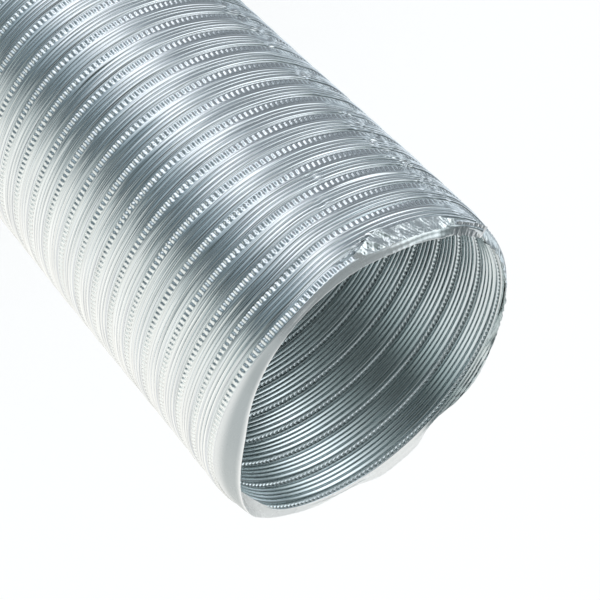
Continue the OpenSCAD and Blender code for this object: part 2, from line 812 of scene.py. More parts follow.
@dataclass(frozen=True)
class Handling:
    """All that handling did to the duct, as one shift of every place in its wall.

    Each sway is a number of lobes round the duct, the angle it is turned by and its own track.
    """

    strip: Strip
    grooves: tuple[float, ...]
    fold_lift: float = 0.08 * MM
    fold_tilt: float = 0.075 * MM
    fold_power: float = 0.7
    fold_ripple: Ripple = Ripple(seed=11, count=8, lowest=0.8, highest=9.0)
    tilt_ripple: Ripple = Ripple(seed=12, count=8, lowest=0.6, highest=9.0)
    tilt_track: float = 0.5
    sway: float = 0.25 * MM
    sways: tuple[Triple, ...] = ((1.0, 0.4, 0.0), (2.0, -1.1, 3.0))
    sway_ripple: Ripple = Ripple(seed=13, count=4, lowest=8.0, highest=45.0)
    foot_h: float = 7.0 * MM
    foot_left: float = 0.14
    squeeze: Squeeze = Squeeze()
    crease: Crease = Crease()
    dent_in_bore: float = 0.35
    dents: tuple[Dent, ...] = (
        Dent(-120.0, 264.0, 0.16, 2.6, 1.4),
        Dent(-108.0, 234.0, 0.32, 2.2, 1.7),
        Dent(-114.0, 313.0, 0.35, 0.9, 3.0),
        Dent(-118.0, 300.0, 0.35, 1.0, 4.0),
        Dent(-143.0, 301.0, 0.45, 7.0, 1.6),
        Dent(-146.0, 288.0, 0.45, 6.0, 1.6),
        Dent(-107.0, 338.5, 1.4, 3.2, 0.6),
        Dent(-111.5, 338.3, 1.6, 3.2, 0.6),
        Dent(-115.5, 336.6, 1.6, 3.0, 0.7),
        Dent(-118.8, 335.3, 1.2, 2.6, 0.6),
        Dent(-172.0, 334.0, 1.4, 12.0, 7.0),
        Dent(62.0, 205.0, 0.9, 6.0, 3.0),
        Dent(118.0, 96.0, 0.9, 7.0, 2.6),
        Dent(10.0, 142.0, 0.7, 5.0, 2.6),
        Dent(-60.0, 60.0, 0.7, 6.0, 2.2),
    )
    probe: float = 0.02 * MM
    upright: float = 0.8

    def along_and_across(self, place: Array) -> tuple[Array, Array]:
        """Finds places on the unwound strip.

        Args:
            place: rows of x, y, z before handling.

        Returns:
            The angle wound from the strip's end, and the distance below the seam's middle in
            millimetres.
        """
        strip = self.strip
        x, y, z = place.T
        angle = np.arctan2(y, x)
        turn = strip.turns_below_tip(angle, z)
        whole = np.floor(turn - self.grooves[0] * MM / strip.turn_pitch)
        return (whole + strip.ahead(angle)) * math.tau, (turn - whole) * strip.turn_pitch / MM

    def shift(self, place: Array) -> Array:
        """Says how far each place of the wall has moved.

        Args:
            place: rows of x, y, z before handling.

        Returns:
            Rows of the shift in x, y, z.
        """
        strip = self.strip
        x, y, z = place.T
        angle, r = np.arctan2(y, x), np.hypot(x, y)
        height = strip.fold_share(r)
        along, across = self.along_and_across(place)
        edges = np.array(self.grooves)
        track = np.clip(np.searchsorted(edges, across) - 1, 0, len(edges) - 2)
        within = (across - edges[track]) / (edges[track + 1] - edges[track]) - 0.5
        outside = height**self.fold_power
        out = self.fold_lift * outside * np.cos(math.pi * within) ** 2 * self.fold_ripple(along, track)
        tilt = self.tilt_ripple(along, track + self.tilt_track)
        out += self.fold_tilt * outside * np.sin(math.tau * within) * tilt
        for lobes, turned, sway_track in self.sways:
            out += self.sway * self.sway_ripple(z, sway_track) * np.cos(lobes * angle - turned)
        out += self.crease.push(strip, angle, z, r, track == 0) * height
        share = self.dent_in_bore + (1.0 - self.dent_in_bore) * height
        for dent in self.dents:
            out -= dent.push(angle, z, strip.crest_r) * share
        press = 1.0 - smooth(z / self.foot_h)
        out -= (r - strip.bore_r) * press * (1.0 - self.foot_left)
        lift = self.squeeze.lift(strip, angle, z)
        return np.stack([out * np.cos(angle), out * np.sin(angle), lift], axis=1)

    def apply(self, obj: bpy.types.Object) -> Array:
        """Shifts a mesh's vertices and turns its normals along with the surface.

        Args:
            obj: the mesh object, with its normals before handling in REST_NORMAL.

        Returns:
            The heights of its vertices before handling.
        """
        mesh = obj.data
        place = places(mesh)
        stored = np.empty(3 * len(mesh.vertices), np.float32)
        mesh.attributes[REST_NORMAL].data.foreach_get("vector", stored)
        normal = unit(stored.reshape(-1, 3).astype(float))
        level = np.abs(normal[:, 2:]) < self.upright
        side_1 = unit(np.cross(normal, np.where(level, (0.0, 0.0, 1.0), (1.0, 0.0, 0.0))))
        side_2 = np.cross(normal, side_1)
        moved = self.shift(place)
        turned = [
            side + (self.shift(place + side * self.probe) - moved) / self.probe for side in (side_1, side_2)
        ]
        move_to(mesh, place + moved)
        mesh.attributes.remove(mesh.attributes[REST_NORMAL])
        self._mark_strip(mesh, place)
        mesh.update()
        mesh.normals_split_custom_set_from_vertices(unit(np.cross(*turned)).tolist())
        return place[:, 2]

    def _mark_strip(self, mesh: bpy.types.Mesh, place: Array) -> None:
        """Stores each vertex's place on the unwound strip, in metres, for the finish.

        The third part is 1 at the crests and 0 at the bore.

        Args:
            mesh: the mesh.
            place: its vertices before handling.
        """
        along, across = self.along_and_across(place)
        height = self.strip.fold_share(np.hypot(place[:, 0], place[:, 1]))
        mark(mesh, STRIP_PLACE, along * self.strip.crest_r, across * MM, height)


# ---------------------------------------------------------------- the finish


Socket = bpy.types.NodeSocket
Source = Socket | float | tuple[float, ...]


def rgba(colour: Triple, level: float = 1.0) -> tuple[float, ...]:
    """A colour at a level, with full cover."""
    return (*[part * level for part in colour], 1.0)


class Board:
    """The nodes of one material, with short ways to add a node and to feed its sockets."""

    def __init__(self, name: str) -> None:
        """Starts a material.

        Args:
            name: the material's name.
        """
        self.material = bpy.data.materials.new(name)
        self.material.use_nodes = True
        self.nodes = self.material.node_tree.nodes
        self.shader = self.nodes["Principled BSDF"]

    def feed(self, node: bpy.types.Node, inputs: dict[str | int, Source]) -> None:
        """Sets or links a node's inputs.

        Args:
            node: the node.
            inputs: for each input, its value or the socket that it reads.
        """
        for key, source in inputs.items():
            if isinstance(source, Socket):
                self.material.node_tree.links.new(source, node.inputs[key])
            else:
                node.inputs[key].default_value = source

    def add(
        self,
        kind: str,
        output: str,
        inputs: dict[str | int, Source] | None = None,
        **settings: str,
    ) -> Socket:
        """Adds a node.

        Args:
            kind: the node's kind.
            output: the output that is read.
            inputs: for each input, its value or the socket that it reads.
            settings: the node's own settings.

        Returns:
            The output's socket.
        """
        node = self.nodes.new(f"ShaderNode{kind}")
        for name, value in settings.items():
            setattr(node, name, value)
        self.feed(node, inputs or {})
        return node.outputs[output]

    def mix(self, share: Source, lower: Source, upper: Source) -> Socket:
        """Mixes two colours by a share."""
        return self.add("Mix", "Result", {"Factor": share, "A": lower, "B": upper}, data_type="RGBA")

    def scale(self, value: Source, to: Point, of: Point = (0.0, 1.0), way: str = "LINEAR") -> Socket:
        """Maps a value from one range to another.

        Args:
            value: the value.
            to: the range it is mapped to.
            of: the range it is mapped from.
            way: how it goes from end to end.

        Returns:
            The socket with the mapped value.
        """
        ends = {"From Min": of[0], "From Max": of[1], "To Min": to[0], "To Max": to[1]}
        return self.add("MapRange", "Result", {"Value": value, **ends}, interpolation_type=way)

    def maths(self, operation: str, first: Source, second: Source) -> Socket:
        """Works out one number from two."""
        return self.add("Math", "Value", {0: first, 1: second}, operation=operation)

    def vector(self, operation: str, inputs: dict[str | int, Source]) -> Socket:
        """Works out one vector from others."""
        return self.add("VectorMath", "Vector", inputs, operation=operation)

    def parts(self, vector: Socket) -> tuple[Socket, Socket, Socket]:
        """Takes a vector apart into x, y and z."""
        outputs = self.add("SeparateXYZ", "X", {"Vector": vector}).node.outputs
        return outputs["X"], outputs["Y"], outputs["Z"]

    def glow(self, colour: Source) -> None:
        """Makes the material an even light instead of a surface.

        Args:
            colour: the light's colour.
        """
        self.nodes.remove(self.shader)
        light = self.add("Emission", "Emission", {"Color": colour})
        self.feed(self.nodes["Material Output"], {"Surface": light})


@dataclass(frozen=True)
class Foil:
    """Bare rolled aluminium foil: bright, slightly hazy, with rolling lines along the strip.

    A grain is how often a pattern repeats in a metre along the strip, across it and in depth.
    """

    name: str
    colour: Triple
    # Colour at the bore: a darker, bluer painted shade for the light lost inside the duct, which also
    # darkens the bottoms of the outer grooves.
    bore_painted_shade: Triple
    roughness: float
    haze: float
    drawn: float
    dull: float
    line_depth: float
    line_strength: float = 0.5
    bore_haze: float = 0.09
    # Where the sheet is rubbed it turns matt and its colour is painted: this dark grey is painted shade, the
    # pale one below painted light.
    rubbed_shade: Triple = (0.44, 0.475, 0.475)
    pale: Triple = (0.95, 0.955, 0.935)
    worn_metal: float = 0.10
    line_grain: Triple = (22.0, 1500.0, 0.0)
    drawn_grain: Triple = (30.0, 1700.0, 0.0)
    patch_grain: Triple = (70.0, 220.0, 0.0)
    fine_detail: float = 3.0
    patch_detail: float = 4.0
    line_range: Point = (0.36, 0.60)
    drawn_range: Point = (0.25, 0.75)

    def material(self) -> bpy.types.Material:
        """Builds the finish's material.

        Returns:
            The material.
        """
        board = Board(self.name)
        place = board.add("Attribute", "Vector", attribute_name=STRIP_PLACE)
        outside = board.parts(place)[2]
        lines = self._grain(board, place, self.line_grain, self.fine_detail)
        brightness = board.scale(lines, (0.0, 1.0), self.line_range)
        tone = board.mix(brightness, rgba(self.colour, self.dull), rgba(self.colour))
        # The colour runs from the painted shade at the bore to the foil's own tone at the crests.
        self._rub_and_painted_light(board, board.mix(outside, rgba(self.bore_painted_shade), tone))
        patches = self._grain(board, place, self.patch_grain, self.patch_detail)
        rough = board.scale(patches, (self.roughness, self.roughness + self.haze))
        within = board.scale(outside, (self.bore_haze, 0.0))
        relief = {
            "Strength": self.line_strength,
            "Distance": self.line_depth,
            "Height": lines,
            "Normal": self._turned(board, place, outside),
        }
        normal = board.add("Bump", "Normal", relief)
        board.feed(board.shader, {"Roughness": board.maths("ADD", rough, within), "Normal": normal})
        return board.material

    def _rub_and_painted_light(self, board: Board, colour: Socket) -> None:
        """Colours the shader: where the sheet's edge is rubbed it turns matt, painted dark grey for shade
        and pale for light.

        Args:
            board: the material's nodes.
            colour: the bright foil's colour.
        """
        rubbed, painted_light, _ = board.parts(board.add("Attribute", "Vector", attribute_name=RUB_AND_PAINTED_LIGHT))
        # Painted light and shade: the rubbed colour runs from dark grey to pale.
        matt = board.mix(painted_light, rgba(self.rubbed_shade), rgba(self.pale))
        metal = board.scale(rubbed, (1.0, self.worn_metal))
        board.feed(board.shader, {"Base Color": board.mix(rubbed, colour, matt), "Metallic": metal})

    def _turned(self, board: Board, place: Socket, outside: Socket) -> Socket:
        """Turns the outside a little along the strip, as drawing it through the rolls does.

        Args:
            board: the material's nodes.
            place: the place on the strip.
            outside: 1 at the crests and 0 at the bore.

        Returns:
            The turned normal.
        """
        normal = board.add("NewGeometry", "Normal")
        along = board.vector("CROSS_PRODUCT", {0: (0.0, 0.0, 1.0), 1: normal})
        drawn = self._grain(board, place, self.drawn_grain, self.fine_detail)
        amount = board.scale(drawn, (-self.drawn, self.drawn), self.drawn_range)
        step = board.vector("SCALE", {0: along, "Scale": board.maths("MULTIPLY", outside, amount)})
        return board.vector("NORMALIZE", {0: board.vector("ADD", {0: normal, 1: step})})

    @staticmethod
    def _grain(board: Board, place: Socket, grain: Triple, detail: float) -> Socket:
        """Adds a pattern drawn out along the strip.

        Args:
            board: the material's nodes.
            place: the place on the strip.
            grain: how often the pattern repeats in a metre along each axis.
            detail: how many finer patterns are laid over it.

        Returns:
            The pattern's value.
        """
        stretched = board.add("Mapping", "Vector", {"Vector": place, "Scale": grain})
        return board.add("TexNoise", "Fac", {"Vector": stretched, "Scale": 1.0, "Detail": detail})


FOLDED_FOIL = Foil(
    name="folded_foil",
    colour=(0.885, 0.91, 0.92),
    # Painted shade: darker and bluer on the air side and down the outer grooves.
    bore_painted_shade=(0.775, 0.85, 0.86),
    roughness=0.09,
    haze=0.06,
    drawn=0.20,
    dull=0.84,
    line_depth=0.005 * MM,
)
BAND_FOIL = Foil(
    name="band_foil",
    colour=(0.90, 0.94, 0.935),
    bore_painted_shade=(0.90, 0.94, 0.935),
    roughness=0.20,
    haze=0.14,
    drawn=0.04,
    dull=0.92,
    line_depth=0.015 * MM,
)


# ---------------------------------------------------------------- the wall


@dataclass
class WoundWall:
    """The folded wall, cut into the lengths that open and the two ends."""

    strip: Strip
    section: FoldSection
    handling: Handling
    finish: bpy.types.Material
    stretch_turns: float = 1.4
    bend_turns: float = 0.6
    spare_turns: float = 0.3
    slot: Slot = Slot.WALL

    def zone(self, boundary: int) -> tuple[float, float]:
        """Says which length of wall opens at a boundary.

        Args:
            boundary: the boundary's number, counted from 1.

        Returns:
            Its lower and upper end.
        """
        turns = self.stretch_turns if self.opening(boundary) is Opening.STRETCH else self.bend_turns
        half = turns * self.strip.turn_pitch / 2
        middle = self.strip.boundary(boundary)
        return middle - half, middle + half

    @staticmethod
    def opening(boundary: int) -> Opening:
        """How the wall opens at a boundary; odd ones stretch and even ones bend."""
        return Opening.STRETCH if boundary % 2 else Opening.BEND

    def build(self) -> list[bpy.types.Object]:
        """Models the wall and lets every length follow its sections.

        Returns:
            All lengths of the wall, the lowest first.
        """
        cell = KnurlCell(self.section)
        unit_cell = cell.build()
        edge_cell = weld(copy_of(unit_cell, "edge_cell"), cell.edge())
        last = self.strip.turns - 1
        lengths = [self._lower_end(unit_cell)]
        lengths += self._openings(unit_cell, last)
        lengths.append(self._upper_end(unit_cell, edge_cell, last))
        remove(unit_cell, edge_cell)
        return lengths

    def _wind_on(self, cell: bpy.types.Object, first: int, count: int, name: str) -> bpy.types.Object:
        """Winds copies of a cell on along the helix.

        Args:
            cell: the cell to repeat.
            first: the first cell's number, counted down from the strip's end at the mouth.
            count: how many cells.
            name: the object's name.

        Returns:
            The wound stretch of wall, in its place.
        """
        strip = self.strip
        wound = copy_of(cell, name)
        deselect_all()
        step = (0.0, 0.0, -strip.knurl_drop)
        bpy.ops.object.empty_add(location=step, rotation=(0.0, 0.0, strip.knurl_angle))
        pivot = bpy.context.object
        array = wound.modifiers.new("wind_on", "ARRAY")
        array.count = count
        array.use_relative_offset = False
        array.use_object_offset = True
        array.offset_object = pivot
        apply_modifier(wound, array)
        bpy.data.objects.remove(pivot)
        turn = Matrix.Rotation(strip.tip_angle + first * strip.knurl_angle, 4, "Z")
        rise = Matrix.Translation((0.0, 0.0, strip.tip_z - first * strip.knurl_drop))
        wound.data.transform(rise @ turn)
        return wound

    @staticmethod
    def _smoothed(wall: bpy.types.Object) -> bpy.types.Object:
        """Shades a wall smooth and stores its normals, so that a cut leaves no mark.

        Args:
            wall: the wound stretch of wall.

        Returns:
            The same object.
        """
        mesh = wall.data
        mesh.polygons.foreach_set("use_smooth", [True] * len(mesh.polygons))
        mesh.update()
        normals = np.empty(3 * len(mesh.vertices), np.float32)
        mesh.vertex_normals.foreach_get("vector", normals)
        mark(mesh, REST_NORMAL, *normals.reshape(-1, 3).T)
        return wall

    def _cells_down_to(self, low: float) -> int:
        """How many cells, counted from the strip's end, reach past a height all round."""
        spare = self.spare_turns * self.strip.turn_pitch
        return math.ceil((self.strip.tip_z - low + spare) / self.strip.knurl_drop)

    def _stretch_of_wall(
        self, cell: bpy.types.Object, low: float, high: float, name: str
    ) -> bpy.types.Object:
        """Winds a stretch of wall that reaches past two heights all the way round.

        Args:
            cell: the cell to repeat.
            low: the lower height.
            high: the upper height.
            name: the object's name.

        Returns:
            The stretch, shaded smooth.
        """
        strip = self.strip
        spare = self.spare_turns * strip.turn_pitch
        first = math.floor((strip.tip_z - high - strip.turn_pitch - spare) / strip.knurl_drop)
        return self._smoothed(weld(self._wind_on(cell, first, self._cells_down_to(low) - first, name)))

    def _openings(self, cell: bpy.types.Object, last: int) -> list[bpy.types.Object]:
        """Models the lengths of wall that open, from the lowest boundary up.

        Args:
            cell: the cell to repeat.
            last: the highest boundary's number.

        Returns:
            One length for each boundary.
        """
        low, middle = self.zone(1)
        high = self.zone(2)[1]
        pair = self._stretch_of_wall(cell, low, high, "two_turns")
        masters = []
        for ends in ((low, middle), (middle, high)):
            master = copy_of(pair, "master")
            cut(master, ends[0], 1)
            cut(master, ends[1], -1)
            masters.append(master)
        lengths = []
        for boundary in range(1, last + 1):
            first = 1 if self.opening(boundary) is Opening.STRETCH else 2
            rise = self.zone(boundary)[0] - self.zone(first)[0]
            length = copy_of(masters[first - 1], f"folds_{boundary:02d}")
            length.data.transform(Matrix.Translation((0.0, 0.0, rise)))
            self._dress(length, boundary)
            lengths.append(length)
        remove(pair, *masters)
        return lengths

    def _dress(self, length: bpy.types.Object, boundary: int) -> None:
        """Bends a length as handled, finishes it and lets it open between two sections.

        Args:
            length: the length of wall.
            boundary: the number of the boundary that it opens at.
        """
        heights = self.handling.apply(length)
        length.data.materials.append(self.finish)
        low, high = self.zone(boundary)
        lower, upper = f"section_{boundary:02d}", f"section_{boundary + 1:02d}"
        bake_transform(length, lower, upper, start=(0.0, 0.0, low), end=(0.0, 0.0, high))
        even = np.clip((heights - low) / (high - low), 0.0, 1.0)
        length.data.attributes[BLEND_WEIGHT].data.foreach_set("value", even.astype(np.float32))
        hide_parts(f"turn_{boundary:02d}")

    def _lower_end(self, cell: bpy.types.Object) -> bpy.types.Object:
        """Models the lowest folds, pressed in to the rim that they stand on.

        Args:
            cell: the cell to repeat.

        Returns:
            The lower end.
        """
        high = self.zone(1)[0]
        end = self._stretch_of_wall(cell, 0.0, high, "lower_end")
        cut(end, 0.0, 1)
        cut(end, high, -1)
        self._finish_end(end, "section_01", "lower_hem")
        return end

    def _upper_end(self, cell: bpy.types.Object, edge_cell: bpy.types.Object, last: int) -> bpy.types.Object:
        """Models the topmost folds, where the strip's end steps down by one turn.

        Args:
            cell: the cell to repeat.
            edge_cell: the cell with the strip's own edge on it.
            last: the highest boundary's number.

        Returns:
            The upper end.
        """
        strip = self.strip
        low = self.zone(last)[1]
        top_turn = self._wind_on(edge_cell, 0, strip.knurls, "upper_end")
        rest = self._wind_on(cell, strip.knurls, self._cells_down_to(low) - strip.knurls, "rest")
        end = self._smoothed(weld(top_turn, rest))
        cut(end, low, 1)
        self._finish_end(end, strip.top_section, f"turn_{strip.turns:02d}", "upper_hem")
        return end

    def _finish_end(self, end: bpy.types.Object, section: str, *nodes: str) -> None:
        """Bends an end as handled, finishes it and lets it ride on its section.

        Args:
            end: the end of the wall.
            section: the section's name.
            nodes: the solids that it takes the place of.
        """
        self.handling.apply(end)
        end.data.materials.append(self.finish)
        ride_on(end, section)
        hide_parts(*nodes)


# ---------------------------------------------------------------- the strip's end at the mouth


@dataclass(frozen=True)
class Station:
    """The plain band's edge at one angle.

    Angles run on in degrees from the strip's end; the edge's height over the mouth's middle, its
    radius, the radius of the band's foot inside and the depth of its crumples are in millimetres.
    """

    angle: float
    edge_z: float
    edge_r: float
    foot_r: float
    crumple: float


@dataclass
class MouthBand:
    """The strip's plain edge past its last seam, leaning in, flared and crumpled as handled.

    The beaded, waved and rubbed parts lie between angles in degrees; where it is rubbed the band is
    matt and its colour is painted light and shade. Bead, wave and their lengths are in millimetres.
    """

    strip: Strip
    handling: Handling
    finish: bpy.types.Material
    base_r: float = 66.2 * MM
    inner_r: float = 63.3 * MM
    foot_h: float = 1.7 * MM
    middle_h: float = 3.5 * MM
    top_h: float = 5.0 * MM
    sheet: float = 0.22 * MM
    steps: int = 1152
    end_share: float = 0.2
    rows: int = 11
    slot: Slot = Slot.RIM
    stations: tuple[Station, ...] = (
        Station(-160.0, 1.6, 63.1, 63.0, 0.10),
        Station(-152.0, 1.5, 63.1, 63.0, 0.12),
        Station(-146.0, 2.0, 63.1, 63.1, 0.12),
        Station(-140.0, 3.0, 63.2, 63.2, 0.08),
        Station(-134.0, 2.6, 63.2, 63.2, 0.05),
        Station(-122.0, 2.2, 63.0, 63.0, 0.04),
        Station(-110.0, 1.2, 63.0, 63.0, 0.03),
        Station(-98.0, 1.2, 63.0, 63.0, 0.03),
        Station(-86.0, 1.6, 63.0, 63.0, 0.03),
        Station(-76.0, 2.3, 62.6, 63.0, 0.02),
        Station(-68.0, 3.1, 62.2, 63.0, 0.02),
        Station(-60.0, 4.3, 61.8, 63.0, 0.02),
        Station(-52.0, 6.0, 61.5, 63.0, 0.02),
        Station(-43.0, 7.9, 61.3, 63.0, 0.02),
        Station(-36.0, 8.4, 61.3, 63.0, 0.02),
        Station(-28.0, 8.1, 61.3, 63.0, 0.02),
        Station(-18.0, 7.8, 62.2, 63.0, 0.02),
        Station(-8.0, 8.0, 63.8, 62.4, 0.04),
        Station(2.0, 7.6, 64.8, 61.6, 0.05),
        Station(9.0, 6.0, 65.0, 61.9, 0.05),
        Station(19.0, 4.6, 65.0, 63.1, 0.03),
        Station(27.0, 3.6, 64.9, 63.5, 0.03),
        Station(33.0, 3.2, 64.9, 63.5, 0.03),
        Station(40.0, 2.7, 64.9, 63.5, 0.03),
        Station(46.0, 2.2, 64.9, 63.5, 0.03),
        Station(54.0, 1.5, 64.9, 63.5, 0.04),
        Station(62.0, 1.8, 65.4, 63.5, 0.04),
        Station(68.0, 2.3, 67.6, 63.5, 0.05),
        Station(77.0, 2.1, 68.2, 63.6, 0.06),
        Station(85.0, 1.6, 67.8, 63.6, 0.05),
        Station(91.0, 0.7, 65.2, 63.6, 0.04),
        Station(97.0, 0.5, 64.5, 63.5, 0.02),
        Station(105.0, 2.0, 64.4, 63.5, 0.02),
        Station(115.0, 2.8, 64.4, 63.5, 0.03),
        Station(124.0, 2.2, 64.4, 63.6, 0.04),
        Station(133.0, 1.3, 64.4, 65.0, 0.08),
        Station(142.0, 0.8, 63.9, 65.9, 0.16),
        Station(150.0, 0.6, 63.6, 66.0, 0.24),
        Station(158.0, 0.2, 63.3, 66.0, 0.32),
        Station(168.0, -0.5, 63.2, 66.0, 0.40),
        Station(178.0, -1.6, 63.2, 66.0, 0.44),
        Station(188.0, -2.4, 63.4, 66.0, 0.44),
        Station(200.0, -4.6, 65.6, 65.6, 0.30),
    )
    lean_power: float = 1.15
    edge_facets: Facets = Facets(seed=3)
    edge_crumple: float = 1.6
    edge_rate: float = 1.3
    face_facets: Facets = Facets(seed=7)
    face_power: float = 0.6
    lift_facets: Facets = Facets(seed=9)
    lift_crumple: float = 0.5
    bead: float = 0.16
    bead_pitch: float = 1.25
    beaded: Window = Window(36.0, 8.0, 136.0, 10.0)
    bead_start: float = 0.1
    wave: float = 0.04
    waves: float = 2.4
    waved: Window = Window(-152.0, 10.0, -66.0, 14.0)
    wave_start: float = 0.2
    wave_drift: float = 1.5
    drift_length: float = 7.0
    rubbed: Window = Window(-84.0, 16.0, 96.0, 8.0)
    # Painted light on the rubbed outside: pale at the foot, a painted highlight along the top edge, pale on
    # the far side.
    painted_light_foot: float = 0.75
    painted_light_foot_rise: Window = Window(0.05, 0.45)
    painted_light_foot_angles: Window = Window(-84.0, 30.0)
    painted_edge_highlight: Window = Window(0.88, 0.08)
    painted_light_side: Window = Window(54.0, 10.0)

    def build(self) -> bpy.types.Object:
        """Models the upper mouth's band.

        Returns:
            The band, riding on the last section.
        """
        band = self._wound("upper_band")
        self._shape(band.data)
        band.data.materials.append(self.finish)
        pick(band)
        bpy.ops.object.shade_smooth_by_angle(angle=SHARP_EDGE)
        ride_on(band, self.strip.top_section)
        return band

    def _line(self) -> list[Point]:
        """Lines up the band's section before it is shaped.

        Returns:
            The line up the outside, over the edge and down inside.
        """
        high = self.top_h - self.foot_h
        heights = [self.foot_h + high * row / self.rows for row in range(self.rows + 1)]
        return [(self.base_r, z) for z in heights] + [(self.inner_r, z) for z in reversed(heights)]

    def _wound(self, name: str) -> bpy.types.Object:
        """Winds the band's section once round the mouth and closes its two ends.

        Args:
            name: the band's name.

        Returns:
            The plain band, in its place.
        """
        strip = self.strip
        band = draw_wire(name, self._line())
        edit(band)
        bpy.ops.mesh.edge_face_add()
        bpy.ops.mesh.delete(type="ONLY_FACE")
        close_edit()
        wind(band, math.tau, strip.turn_pitch, self.steps)
        edit(band)
        bpy.ops.mesh.select_all(action="DESELECT")
        bpy.ops.mesh.select_non_manifold()
        bpy.ops.mesh.fill_holes(sides=0)
        bpy.ops.mesh.select_all(action="SELECT")
        bpy.ops.mesh.quads_convert_to_tris()
        bpy.ops.mesh.normals_make_consistent(inside=False)
        close_edit()
        rise = Matrix.Translation((0.0, 0.0, strip.tip_z))
        band.data.transform(rise @ Matrix.Rotation(strip.tip_angle, 4, "Z"))
        return band

    def _shape(self, mesh: bpy.types.Mesh) -> None:
        """Leans, flares and crumples the band from station to station.

        Args:
            mesh: the plain band's mesh.
        """
        place = places(mesh)
        ahead = self._ahead(place)
        angle = np.degrees(self.strip.tip_angle) + 360.0 * ahead
        theta = np.radians(angle)
        middle = self.strip.tip_z - self.strip.turn_pitch * ahead
        share = np.clip((place[:, 2] - middle - self.foot_h) / (self.top_h - self.foot_h), 0.0, 1.0)
        outer = np.hypot(place[:, 0], place[:, 1]) > (self.base_r + self.inner_r) / 2
        foot = np.stack(
            [self.base_r * np.cos(theta), self.base_r * np.sin(theta), middle + self.foot_h], axis=1
        )
        moved = self.handling.shift(foot)
        along = theta * self.strip.crest_r / MM
        foot_z = (foot[:, 2] + moved[:, 2]) / MM
        r, up, lift = self._leaned(angle, along, share, outer, foot_z)
        x, y = r * np.cos(theta), r * np.sin(theta)
        rows = np.stack([x, y, foot_z + up + lift], axis=1) * MM
        rows[:, :2] += moved[:, :2]
        move_to(mesh, rows)
        mark(mesh, STRIP_PLACE, along * MM, -up * MM, np.ones(len(up)))
        self._rub_and_painted_light(mesh, angle, share, outer)
        mesh.update()

    def _leaned(
        self, angle: Array, along: Array, share: Array, outer: Array, foot_z: Array
    ) -> tuple[Array, Array, Array]:
        """Works out the band's shape, in millimetres.

        Args:
            angle: its vertices' angles in degrees.
            along: how far round the mouth they are.
            share: how far up the band they are, from 0 to 1.
            outer: which of them are outside.
            foot_z: the height of the band's foot below them.

        Returns:
            Their radii, their heights over the foot, and what crumples and waves add to these.
        """
        base_r, sheet = self.base_r / MM, self.sheet / MM
        edge_z, edge_r, foot_r, crumple = (
            self._through(angle, name) for name in ("edge_z", "edge_r", "foot_r", "crumple")
        )
        ragged = crumple * self.edge_crumple * self.edge_facets(along * self.edge_rate)
        edge_z = edge_z + self.strip.mouth_z / MM + ragged
        outer_r = base_r + (edge_r - base_r) * share**self.lean_power
        inner_r = foot_r + (edge_r - sheet - foot_r) * share
        r = np.where(outer, outer_r, np.minimum(inner_r, outer_r - sheet))
        up = (edge_z - foot_z) * share
        beads = self.bead * self.beaded(angle) * np.sin(math.tau * up / self.bead_pitch)
        r = r - beads * smooth(share / self.bead_start)
        r = r + crumple * share**self.face_power * self.face_facets(along, up)
        waved = self.wave * (self.waved(angle) * smooth(share / self.wave_start))
        drift = self.wave_drift * np.sin(along / self.drift_length)
        lift = self.lift_crumple * crumple * share * self.lift_facets(along, up)
        return r, up, lift + waved * np.sin(math.tau * self.waves * share + drift)

    def _rub_and_painted_light(self, mesh: bpy.types.Mesh, angle: Array, share: Array, outer: Array) -> None:
        """Marks where the band is rubbed matt, and how pale its painted light is there: pale at the foot,
        on the far side and over the inner face against its shade, with a painted highlight along the
        top edge and dark grey painted shade between.

        Args:
            mesh: the band's mesh.
            angle: its vertices' angles in degrees.
            share: how far up the band they are, from 0 to 1.
            outer: which of them are outside.
        """
        rubbed = self.rubbed(angle)
        foot = self.painted_light_foot * (1.0 - self.painted_light_foot_rise(share)) * self.painted_light_foot_angles(angle)
        outer_painted_light = np.maximum(np.maximum(foot, self.painted_edge_highlight(share)), self.painted_light_side(angle))
        # The inner face is painted pale all over, as light against the shade it lies in.
        mark(mesh, RUB_AND_PAINTED_LIGHT, rubbed, np.where(outer, outer_painted_light, 1.0), np.zeros(len(rubbed)))

    def _ahead(self, place: Array) -> Array:
        """Shares of a turn from the strip's end, with both ends of the band told apart.

        Args:
            place: rows of x, y, z on the plain band.

        Returns:
            The shares, 0 at the band's upper end and 1 at its lower one.
        """
        ahead = self.strip.ahead(np.arctan2(place[:, 1], place[:, 0]))
        at_seam = np.minimum(ahead, 1.0 - ahead) < self.end_share / self.steps
        far = place[:, 2] < self.strip.tip_z - self.strip.turn_pitch / 2 + self.middle_h
        return np.where(at_seam, np.where(far, 1.0, 0.0), ahead)

    def _through(self, angle: Array, name: str) -> Array:
        """Reads a value between stations along a smooth curve through them all.

        Args:
            angle: the angles to read it at, in degrees.
            name: the value's name.

        Returns:
            The values.
        """
        knots = np.array([station.angle for station in self.stations])
        heights = np.array([getattr(station, name) for station in self.stations])
        slopes = np.gradient(heights, knots)
        left = np.clip(np.searchsorted(knots, angle, side="right") - 1, 0, len(knots) - 2)
        gap = knots[left + 1] - knots[left]
        t = (angle - knots[left]) / gap
        rise = (2 * t**3 - 3 * t**2 + 1) * heights[left] + (3 * t**2 - 2 * t**3) * heights[left + 1]
        return rise + gap * ((t**3 - 2 * t**2 + t) * slopes[left] + (t**3 - t**2) * slopes[left + 1])


